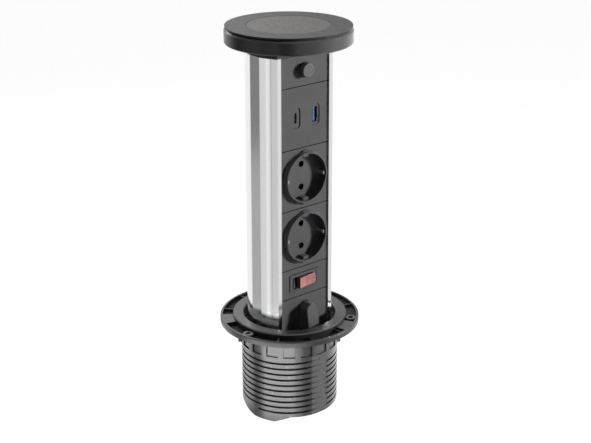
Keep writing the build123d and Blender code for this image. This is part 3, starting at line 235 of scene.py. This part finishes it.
# Darker, duller painted shade for the flange's open channel.
channel_painted_shade = moulded("channel_painted_shade", (0.016, 0.016, 0.017), rough=0.6, grain=1500.0, depth=0.00001,
                        edge=0.0004, specular=0.25)
scoop_grey = metal("scoop_grey", (0.42, 0.44, 0.42), rough=0.22, scale=600.0, streak=0.2, depth=0.00002)
# Darker, duller painted shade for the socket wells' walls.
well_wall_painted_shade = moulded("well_wall_painted_shade", (0.085, 0.085, 0.088), depth=0.00001, edge=0.00006, specular=0.1)
pad_grey = pad_skin()

FINISH = {
    barrel_grey: ["mounting_barrel"],
    flange_black: ["mounting_flange"],
    column_aluminium: ["column_profile"],
    panel_grey: ["panel_top", "panel_usb", "socket_upper", "socket_lower", "panel_switch", "panel_foot",
                 "neck", "switch_body"],
    cap_black: ["cap_base"],
    lid_grey: ["cap_lid"],
    latch_grey: ["latch"],
    inner_black: ["contact_block_lower", "contact_block_upper", "usb_c_tongue", "breaker_body", "gland_body",
                  "gland_locknut", "gland_nut", "ferrite_sheet", "charger_lead"],
    liner_black: ["guide_liner", "stop_collar", "end_cap"],
    button_grey: ["overload_button"],
    terminal_white: ["terminal_block"],
    port_blue: ["usb_a_tongue"],
    board_green: ["usb_board", "charger_board"],
    steel: ["collar_screws", "contact_screws", "usb_board_screws", "button_spring", "latch_pin",
            "latch_spring", "terminal_screws", "end_cap_screws", "neck_screws", "cap_screws", "lid_screws"],
    tinned: ["earth_bar"],
    port_shell: ["usb_c_port", "usb_a_port"],
    brass: ["live_bar", "neutral_bar", "breaker_tabs"],
    copper: ["charging_coil"],
    rocker_red_painted_bloom: ["rocker"],
    pad_grey: ["charging_pad"],
}
for material, members in FINISH.items():
    for member in members:
        NODES[member].data.materials.clear()
        NODES[member].data.materials.append(material)


# Detail pieces. Each stands for the solids that it is given and moves with them.
def place_piece(name, mesh, nodes, materials):
    piece = bpy.data.objects.new(name, mesh)
    bpy.context.scene.collection.objects.link(piece)
    mesh.materials.clear()
    for material in materials:
        mesh.materials.append(material)
    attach(piece, BODY_OF[nodes[0]])
    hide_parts(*nodes)
    return piece


def mesh_of(name, bm, smooth=35):
    mesh = bpy.data.meshes.new(name)
    bmesh.ops.recalc_face_normals(bm, faces=bm.faces)
    bm.to_mesh(mesh)
    bm.free()
    for polygon in mesh.polygons:
        polygon.use_smooth = True
    mesh.set_sharp_from_angle(angle=math.radians(smooth))
    return mesh


def lathe(bm, profile, steps=48, wave=None):
    """Turns a closed profile of (radius, height) in millimetres about Z; wave may change a radius."""
    rings = []
    for radius, height in profile:
        if radius < 1e-6:
            rings.append([bm.verts.new((0, 0, height * MM))])
            continue
        ring = []
        for step in range(steps):
            a = 2 * math.pi * step / steps
            r = (wave(a, radius) if wave else radius) * MM
            ring.append(bm.verts.new((r * math.cos(a), r * math.sin(a), height * MM)))
        rings.append(ring)
    for low, high in zip(rings, rings[1:]):
        for k in range(steps):
            n = (k + 1) % steps
            if len(low) == 1 and len(high) == 1:
                break
            if len(low) == 1:
                bm.faces.new((low[0], high[k], high[n]))
            elif len(high) == 1:
                bm.faces.new((low[k], low[n], high[0]))
            else:
                bm.faces.new((low[k], low[n], high[n], high[k]))


def cut(mesh, tool):
    """A mesh with another cut out of it."""
    first = bpy.data.objects.new("cut_body", mesh)
    second = bpy.data.objects.new("cut_tool", tool)
    for thing in (first, second):
        bpy.context.scene.collection.objects.link(thing)
    modifier = first.modifiers.new("cut", "BOOLEAN")
    modifier.operation = "DIFFERENCE"
    modifier.solver = "EXACT"
    modifier.use_self = True
    modifier.object = second
    bpy.context.view_layer.update()
    seen = first.evaluated_get(bpy.context.evaluated_depsgraph_get())
    result = bpy.data.meshes.new_from_object(seen)
    for thing in (first, second):
        bpy.data.objects.remove(thing)
    return result


CROWN_STEPS, CROWN_EDGE = 6, 0.45
THREAD_PITCH, THREAD_ROOT, THREAD_START, THREAD_END = 0.8, 0.8, 0.4, 1.2
CROSS_LENGTH, CROSS_WIDTH, CROSS_TAPER = 1.15, 0.3, 0.45


def pan_screw(radius, height, shank, length):
    """A pan-head screw with a cross recess: its head faces -Z from zero down, its shank runs up."""
    bm = bmesh.new()
    crown = [(0, -height)]
    for step in range(1, CROWN_STEPS + 1):
        t = step / CROWN_STEPS
        bulge = CROWN_EDGE + (1 - CROWN_EDGE) * math.cos(t * math.pi / 2)
        crown.append((radius * math.sin(t * math.pi / 2), -height * bulge))
    turns = [(radius, 0.0), (shank, 0.0)]
    root = shank * THREAD_ROOT
    level = THREAD_START
    while level < length - THREAD_END:
        turns += [(shank, level), (root, level + 0.25), (root, level + 0.45), (shank, level + 0.7)]
        level += THREAD_PITCH
    lathe(bm, crown + turns + [(shank * 0.5, length - 0.3), (0, length)], 40)
    head = mesh_of("screw", bm)
    bm = bmesh.new()
    for turn in (0, math.pi / 2):
        arm = bmesh.ops.create_cube(bm, size=1.0)["verts"]
        for v in arm:
            outside = v.co.z < 0
            taper = 1.0 if outside else CROSS_TAPER
            x, y = v.co.x * radius * CROSS_LENGTH * taper, v.co.y * radius * CROSS_WIDTH * taper
            v.co = Vector((x, y, -height - 0.2 if outside else -height * 0.25)) * MM
        bmesh.ops.rotate(bm, verts=arm, cent=(0, 0, 0), matrix=Matrix.Rotation(turn, 3, "Z"))
    tool = bpy.data.meshes.new("cross")
    bmesh.ops.recalc_face_normals(bm, faces=bm.faces)
    bm.to_mesh(tool)
    bm.free()
    return cut(head, tool)


def scattered(name, source, places):
    """Copies of a mesh as one mesh: each place is a point in millimetres and a turn about Z."""
    bm = bmesh.new()
    for point, turn in places:
        start = len(bm.verts)
        bm.from_mesh(source)
        bm.verts.ensure_lookup_table()
        move = Matrix.Translation(Vector(point) * MM) @ Matrix.Rotation(turn, 4, "Z")
        bmesh.ops.transform(bm, matrix=move, verts=bm.verts[start:])
    mesh = bpy.data.meshes.new(name)
    bm.to_mesh(mesh)
    bm.free()
    mesh.set_sharp_from_angle(angle=math.radians(35))
    return mesh


def around(radius, angle):
    """The point at this radius whose direction turns from the front toward +X."""
    return radius * math.sin(math.radians(angle)), -radius * math.cos(math.radians(angle))


# What the looks of the dressed pieces go by, in millimetres of the part
CLOSE = 0.06
THREAD_RADIUS, THREAD_SPAN, FLAT_DISTANCE = 39.5, (-70.5, -18.5), 38.6
GROOVE_REACH, GROOVE_SPAN, GROOVE_SIDE = (38.0, 39.38), (-68.3, -21.5), 37.5
GRIP_REACH, GRIP_SPAN = (39.8, 40.78), (-18.1, -0.2)
BORE_REACH = 37.8
CHANNEL_REACH, CHANNEL_FLOOR = (46.4, 55.1), (1.0, 2.0)
PLATE_EDGE, PLATE_DEPTH = 0.3, 2.9
RECESS_DEPTH = (0.02, 0.65)
SOCKET_RISE, PIN_OFFSET, PIN_HOLE, WELL_REACH = 0.7, 9.5, 2.7, (18.8, 19.45)
BEZEL_EDGE, BEZEL_RIM = 0.45, 1.2
SCOOP_START, SCOOP_MIDDLE, SCOOP_HALF_WIDTH = 8.6, 10.4, 2.1
SCOOP_DEPTH, SCOOP_HALF_HEIGHT, SWITCH_MIDDLE = 0.4, 4.7, 40.0


def within(value, span):
    return span[0] < value < span[1]


def reshade(mesh, rule):
    """Sets exact corner normals: rule gives one for each corner of a face, or None for a flat face."""
    normals = [None] * len(mesh.loops)
    for polygon in mesh.polygons:
        corners = [mesh.vertices[index].co / MM for index in polygon.vertices]
        found = rule(polygon, corners) or [polygon.normal.copy() for corner in corners]
        for loop, normal in zip(polygon.loop_indices, found):
            normals[loop] = normal
    for polygon in mesh.polygons:
        polygon.use_smooth = True
    mesh.normals_split_custom_set(normals)


def turned(polygon, corners):
    """Radial where a face lies on a cylinder, toward the axis in the bore."""
    reach = [math.hypot(c.x, c.y) for c in corners]
    low, high = min(c.z for c in corners), max(c.z for c in corners)
    on_flat = max(abs(abs(c.y) - FLAT_DISTANCE) for c in corners) < CLOSE / 2
    on_thread = abs(min(reach) - THREAD_RADIUS) < CLOSE and within(low, THREAD_SPAN) and high < THREAD_SPAN[1]
    level = not on_thread and high - low < CLOSE / 3
    if on_flat or level or max(reach) - min(reach) >= CLOSE:
        return None
    side = -1 if min(reach) < BORE_REACH else 1
    return [Vector((side * c.x, side * c.y, 0)).normalized() for c in corners]


def dished(polygon, corners):
    """A shallow dish for the two scoops beside the rocker."""
    centre = polygon.center / MM
    if abs(centre.y + PANEL_FACE - SCOOP_DEPTH) > CLOSE or abs(centre.x) < 8.0 or polygon.normal.y > -0.9:
        return None
    normals = []
    for c in corners:
        across = (abs(c.x) - SCOOP_MIDDLE) / SCOOP_HALF_WIDTH * (-0.6 if c.x > 0 else 0.6)
        normals.append(Vector((across, -1, (SWITCH_MIDDLE - c.z) / SCOOP_HALF_HEIGHT * 0.4)).normalized())
    return normals


def dressed(node, materials, pick, rule=None):
    """A copy of a node's solid whose faces take their material from pick(centre, normal)."""
    mesh = NODES[node].data.copy()
    mesh.name = node + "_dressed"
    if rule:
        reshade(mesh, rule)
    places = [(polygon.index, polygon.center / MM, polygon.normal.copy()) for polygon in mesh.polygons]
    piece = place_piece(node + "_dressed", mesh, [node], materials)
    for index, centre, normal in places:
        mesh.polygons[index].material_index = pick(centre, normal)
    return piece


def low_high(node):
    low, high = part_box(node)
    return Vector(low) / MM, Vector(high) / MM


def plate_pick(node):
    """The edges of a module's plate, where the seams run, take painted shade."""
    low, high = low_high(node)

    def pick(centre, normal):
        at_edge = centre.z > high.z - PLATE_EDGE or centre.z < low.z + PLATE_EDGE
        return 1 if at_edge and abs(normal.z) > 0.3 and centre.y < PANEL_BACK else 0
    return pick


def socket_pick(node):
    """The well's wall is painted darker and duller than the plate, as shade, and the pin holes take painted
    shade.
    """
    plate = plate_pick(node)
    low, high = low_high(node)
    middle = (low.z + high.z) / 2 + SOCKET_RISE

    def pick(centre, normal):
        if abs(normal.y) < 0.5:
            for pin in (-PIN_OFFSET, PIN_OFFSET):
                if math.hypot(centre.x, centre.z - middle - pin) < PIN_HOLE:
                    return 1
            if within(math.hypot(centre.x, centre.z - middle), WELL_REACH) and centre.y < PANEL_BACK:
                return 2
        return plate(centre, normal)
    return pick


def usb_pick(node):
    """The walls of the two recesses take painted shade too."""
    plate = plate_pick(node)

    def pick(centre, normal):
        in_recess = within(PANEL_FACE + centre.y, RECESS_DEPTH) and normal.y > -0.5
        return 1 if in_recess or plate(centre, normal) else 0
    return pick


def bezel_pick(node):
    """The bezel's edge takes painted shade and the scoops beside the rocker are glossy."""
    low, high = low_high(node)

    def pick(centre, normal):
        rim = min(centre.x - low.x, high.x - centre.x, centre.z - low.z, high.z - centre.z)
        sunk = centre.y + PANEL_FACE
        if rim < BEZEL_EDGE and sunk < 0.1:
            return 1
        in_scoop = abs(centre.x) > SCOOP_START and rim > BEZEL_RIM and -0.55 < sunk < 0.7
        return 2 if in_scoop else 0
    return pick


def flange_pick(centre, normal):
    """The open channel between the ring and the rim is painted darker and duller, as shade."""
    reach = math.hypot(centre.x, centre.y)
    bottom = normal.z > 0.9 and within(centre.z, CHANNEL_FLOOR)
    wall = abs(normal.z) < 0.5 and centre.z > CHANNEL_FLOOR[0]
    return 1 if within(reach, CHANNEL_REACH) and (bottom or wall) else 0


def rocker_pick(centre, normal):
    """The rocker's sides take the dark red of painted shade, its face the red with painted bloom."""
    return 0 if normal.y < -0.75 else 1


def barrel_pick(centre, normal):
    """The thread's groove and the walls of the grip pads take painted shade."""
    reach = math.hypot(centre.x, centre.y)
    outward = (normal.x * centre.x + normal.y * centre.y) / reach
    groove = within(reach, GROOVE_REACH) and within(centre.z, GROOVE_SPAN) and abs(centre.y) < GROOVE_SIDE
    grip = within(reach, GRIP_REACH) and within(centre.z, GRIP_SPAN) and outward < 0.6
    return 1 if groove or grip else 0


dressed("mounting_barrel", [barrel_grey, painted_shade], barrel_pick, turned)
dressed("mounting_flange", [flange_black, channel_painted_shade], flange_pick)
PANEL_FACE = -low_high("panel_top")[0].y
PANEL_BACK = -PANEL_FACE + PLATE_DEPTH
for node in ("panel_top", "panel_switch", "panel_foot"):
    dressed(node, [panel_grey, painted_shade], plate_pick(node))
for node in ("socket_upper", "socket_lower"):
    dressed(node, [panel_grey, painted_shade, well_wall_painted_shade], socket_pick(node))
dressed("panel_usb", [panel_grey, painted_shade], usb_pick("panel_usb"))
dressed("switch_body", [panel_grey, painted_shade, scoop_grey], bezel_pick("switch_body"),
        dished)
dressed("rocker", [rocker_red_painted_bloom, rocker_side_painted_shade], rocker_pick)

PORT_RADIUS, PORT_ANGLES, END_SEAT = 29.6, (71, -71, 140, -140), -64.0
LID_SCREW_RADIUS, LID_SEAT = 41.0, 235.2
end_screw = pan_screw(radius=2.75, height=1.8, shank=1.5, length=12.0)
end_places = [((*around(PORT_RADIUS, angle), END_SEAT), 0.4 + 0.9 * k) for k, angle in enumerate(PORT_ANGLES)]
place_piece("end_cap_screws_cross", scattered("end_cap_screws_cross", end_screw, end_places),
            ["end_cap_screws"], [steel])
lid_screw = pan_screw(radius=2.8, height=1.6, shank=1.5, length=4.4)
lid_places = [((*around(LID_SCREW_RADIUS, 120 * k), LID_SEAT), 0.3 + 1.1 * k) for k in range(3)]
place_piece("lid_screws_cross", scattered("lid_screws_cross", lid_screw, lid_places),
            ["lid_screws"], [steel])

GRIP_COUNT, GRIP_DEPTH, GRIP_START = 18, 0.45, 9.5


def gland_grip(angle, radius):
    """The gland nut's outside dips between its grips."""
    if radius < GRIP_START:
        return radius
    return radius - GRIP_DEPTH * (0.5 - 0.5 * math.cos(GRIP_COUNT * angle)) ** 3


NUT_PROFILE = [
    (4.3, -68.0), (9.8, -68.0), (10.5, -68.6), (10.5, -69.5), (10.5, -71.0), (10.45, -71.8), (9.9, -73.0),
    (8.9, -74.4), (7.6, -75.4), (6.3, -75.9), (5.6, -76.0), (5.0, -75.8), (4.6, -75.0), (4.3, -74.6),
    (4.3, -68.0),
]
bm = bmesh.new()
lathe(bm, NUT_PROFILE, 216, gland_grip)
place_piece("gland_nut_grips", mesh_of("gland_nut_grips", bm), ["gland_nut"], [inner_black])

# Camera: fitted to the photograph
cam_data = bpy.data.cameras.new("camera")
camera = bpy.data.objects.new("camera", cam_data)
bpy.context.scene.collection.objects.link(camera)
bpy.context.scene.camera = camera
cam_data.sensor_fit = "HORIZONTAL"
cam_data.sensor_width = 36.0
cam_data.lens = 79.19
cam_data.shift_y = -0.16279
cam_data.clip_end = 20.0
right = Vector((0.76617, -0.64263, -0.00114))
up = Vector((0.18495, 0.21881, 0.95808))
forward = Vector((0.61544, 0.73427, -0.28651))
camera.matrix_world = Matrix.Translation(Vector((-0.62882, -0.75827, 0.46030))) @ Matrix(
    (right, up, -forward)).transposed().to_4x4()

# Floor under the lowest reach of the column
COLUMN_TRAVEL = 0.232
floor_z = cad_box[0][2] - COLUMN_TRAVEL
floor_mesh = bpy.data.meshes.new("floor")
side = 6.0
corners = [(-side, -side), (side, -side), (side, side), (-side, side)]
floor_mesh.from_pydata([(x, y, floor_z) for x, y in corners], [], [(0, 1, 2, 3)])
floor = bpy.data.objects.new("floor", floor_mesh)
bpy.context.scene.collection.objects.link(floor)
paper = Nodes("paper")
fibres = paper.tint(paper.noise(3.0, 2.0), (0.16, 0.16, 0.16), (0.18, 0.18, 0.18))
paper.link(fibres, paper.shader.inputs["Base Color"])
paper.set(Roughness=0.9, Specular_IOR_Level=0.0)
rays = paper.add("ShaderNodeLightPath")
lift = paper.add("ShaderNodeMath", operation="MULTIPLY")
lift.inputs[1].default_value = 0.97
paper.link(rays.outputs["Is Camera Ray"], lift.inputs[0])
paper.set(Emission_Color=(1, 1, 1, 1))
paper.link(lift.outputs[0], paper.shader.inputs["Emission Strength"])
floor_mesh.materials.append(paper.material)

# Reflector cards on the floor round the object, seen only by reflections. Each is a sector: from
# and to an angle about the column, near and far radius, and how bright it is.
CARD_LIFT = 0.001
CARDS = [
    (148, 201, 0.0, 6.0, 0.95),
    (-159, -150, 0.0, 6.0, 0.55),
    (-150, -131, 0.0, 1.45, 0.42),
    (-150, -131, 1.45, 6.0, 0.21),
    (-131, -122, 0.0, 6.0, 0.5),
    (-122, -101, 0.0, 6.0, 0.72),
    (-101, -94, 0.0, 6.0, 0.95),
    (-94, -68, 0.0, 6.0, 0.62),
    (-68, -58, 0.0, 6.0, 1.0),
    (-58, -30, 0.0, 6.0, 0.4),
    (-30, -8, 0.0, 6.0, 0.9),
    (-8, 20, 0.0, 6.0, 0.3),
    (20, 80, 0.0, 6.0, 0.78),
    (80, 148, 0.0, 6.0, 1.3),
]
# Strips that stand close to the barrel, a little below the flange: from and to an angle, and level.
STRIPS = [(-150, -118, 1.8), (-99, -91, 2.0), (-91, -29, 4.3), (-29, -17, 2.0)]
STRIP_RADIUS, STRIP_LOW, STRIP_HIGH = 0.095, -0.106, -0.0156


def card(name, start, end, inner, outer, level):
    """An emissive sector between two (radius, height) edges."""
    steps = 12
    points = []
    for radius, height in (inner, outer):
        for step in range(steps + 1):
            a = math.radians(start + (end - start) * step / steps)
            points.append((radius * math.sin(a), -radius * math.cos(a), height))
    mesh = bpy.data.meshes.new(name)
    mesh.from_pydata(points, [], [(k, k + 1, steps + 2 + k, steps + 1 + k) for k in range(steps)])
    piece = bpy.data.objects.new(name, mesh)
    bpy.context.scene.collection.objects.link(piece)
    piece.visible_camera = False
    piece.visible_diffuse = False
    piece.visible_shadow = False
    board = Nodes(name)
    board.set(Base_Color=(0, 0, 0, 1), Specular_IOR_Level=0.0)
    board.set(Emission_Color=(1, 1, 1, 1), Emission_Strength=level)
    mesh.materials.append(board.material)


for index, (start, end, near, far, level) in enumerate(CARDS):
    card(f"card_{index}", start, end, (near, floor_z + CARD_LIFT), (far, floor_z + CARD_LIFT), level)
for index, (start, end, level) in enumerate(STRIPS):
    card(f"strip_{index}", start, end, (STRIP_RADIUS, STRIP_LOW), (STRIP_RADIUS, STRIP_HIGH), level)

# World: white for the camera, softer as light
world = bpy.data.worlds.new("studio")
bpy.context.scene.world = world
world.use_nodes = True
tree = world.node_tree
tree.nodes.clear()
rays = tree.nodes.new("ShaderNodeLightPath")


def background(strength):
    node = tree.nodes.new("ShaderNodeBackground")
    node.inputs["Strength"].default_value = strength
    node.inputs["Color"].default_value = (1, 1, 1, 1)
    return node


soft, sky, white = background(0.007), background(0.8), background(1.0)
glossy = tree.nodes.new("ShaderNodeMath")
glossy.operation = "MAXIMUM"
tree.links.new(rays.outputs["Is Glossy Ray"], glossy.inputs[0])
tree.links.new(rays.outputs["Is Transmission Ray"], glossy.inputs[1])
first = tree.nodes.new("ShaderNodeMixShader")
tree.links.new(glossy.outputs[0], first.inputs[0])
tree.links.new(soft.outputs[0], first.inputs[1])
tree.links.new(sky.outputs[0], first.inputs[2])
second = tree.nodes.new("ShaderNodeMixShader")
tree.links.new(rays.outputs["Is Camera Ray"], second.inputs[0])
tree.links.new(first.outputs[0], second.inputs[1])
tree.links.new(white.outputs[0], second.inputs[2])
tree.links.new(second.outputs[0], tree.nodes.new("ShaderNodeOutputWorld").inputs["Surface"])

# Lamps aimed at the column: name, angle from the front, rise, distance, size and watts
LAMP_AIM = 0.09
LAMPS = [
    ("key", 49, 12, 1.3, 0.2, 15.0),
    ("front", -20, 25, 1.5, 0.8, 0.3),
    ("back", 165, 35, 1.5, 0.9, 7.0),
    ("top", 0, 88, 1.6, 1.0, 2.0),
]
for name, angle, rise, far, size, watts in LAMPS:
    a, e = math.radians(angle), math.radians(rise)
    lamp = bpy.data.lights.new(name, "AREA")
    lamp.shape = "SQUARE"
    lamp.size = size
    lamp.energy = watts
    place = bpy.data.objects.new(name, lamp)
    back = Vector((math.sin(a) * math.cos(e), -math.cos(a) * math.cos(e), math.sin(e)))
    place.location = Vector((0, 0, LAMP_AIM)) + back * far
    place.rotation_euler = back.to_track_quat("Z", "Y").to_euler()
    bpy.context.scene.collection.objects.link(place)

bpy.context.scene.view_settings.view_transform = "Standard"
